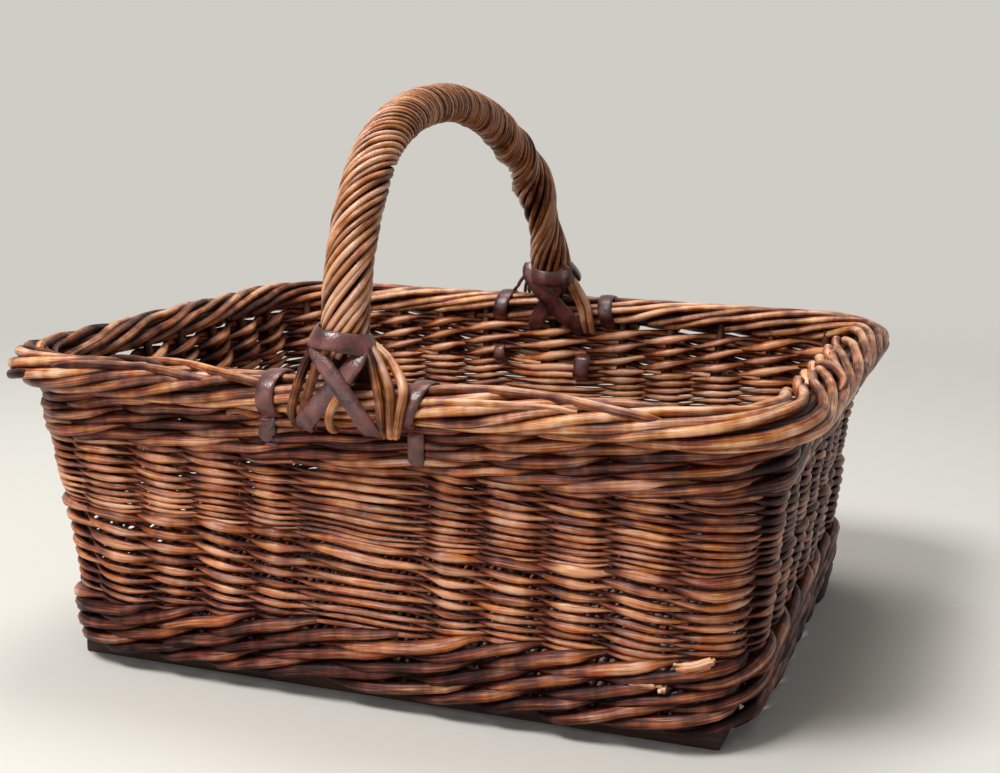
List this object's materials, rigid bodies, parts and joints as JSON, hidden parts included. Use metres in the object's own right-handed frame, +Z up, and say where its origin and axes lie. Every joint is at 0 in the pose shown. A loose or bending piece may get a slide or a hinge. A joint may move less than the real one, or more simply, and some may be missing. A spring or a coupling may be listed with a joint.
{
  "type": "wicker fruit basket",
  "caption": "Oblong stained willow basket with a woven wall, rolled border, fixed roped bow handle, leather straps and wooden runners.",
  "frame": {"origin": "middle of the basket's footprint, on the surface it stands on", "axes": "+X along the long side, +Y from the front long side to the rear one, +Z up"},
  "size_m": [0.458, 0.384, 0.323],
  "materials": {
    "willow": "purple-brown stained willow rods, woven, worn to orange-brown on their crowns, satin",
    "stake_willow": "dark stained willow stakes, satin",
    "handle_willow": "stained willow rods wound like a rope, worn by hands, satin",
    "leather": "dark maroon-brown strap, smooth and slightly shiny",
    "runner_wood": "dark stained softwood, dull and scuffed"
  },
  "bodies": {
    "root": {"fan_rod_front_left": "handle_willow", "fan_rod_front_right": "handle_willow", "fan_rod_rear_right": "handle_willow", "foot_wale": "willow", "handle_bow": "handle_willow", "handle_winding_1": "handle_willow", "handle_winding_2": "handle_willow", "handle_winding_3": "handle_willow", "handle_winding_4": "handle_willow", "handle_winding_5": "handle_willow", "handle_winding_6": "handle_willow", "lower_rand_thick": "willow", "lower_rand_thin": "willow", "rim_strap_front_left": "leather", "rim_strap_front_right": "leather", "rim_strap_rear_left": "leather", "rim_strap_rear_right": "leather", "rolled_border": "willow", "runner_front": "runner_wood", "runner_rear": "runner_wood", "stake_01": "stake_willow", "stake_02": "stake_willow", "stake_03": "stake_willow", "stake_04": "stake_willow", "stake_05": "stake_willow", "stake_06": "stake_willow", "stake_07": "stake_willow", "stake_08": "stake_willow", "stake_09": "stake_willow", "stake_10": "stake_willow", "stake_11": "stake_willow", "stake_12": "stake_willow", "stake_13": "stake_willow", "stake_14": "stake_willow", "stake_15": "stake_willow", "stake_16": "stake_willow", "stake_17": "stake_willow", "stake_18": "stake_willow", "stake_19": "stake_willow", "stake_20": "stake_willow", "stake_21": "stake_willow", "stake_22": "stake_willow", "stake_23": "stake_willow", "stake_24": "stake_willow", "stake_25": "stake_willow", "stake_26": "stake_willow", "stake_27": "stake_willow", "stake_28": "stake_willow", "stake_29": "stake_willow", "stake_30": "stake_willow", "stake_31": "stake_willow", "stake_32": "stake_willow", "stake_33": "stake_willow", "stake_34": "stake_willow", "strap_collar_front": "leather", "strap_collar_rear": "leather", "top_wale": "willow", "upper_rand_thick": "willow", "upper_rand_thin": "willow", "woven_base": "willow"}
  },
  "joints": []
}
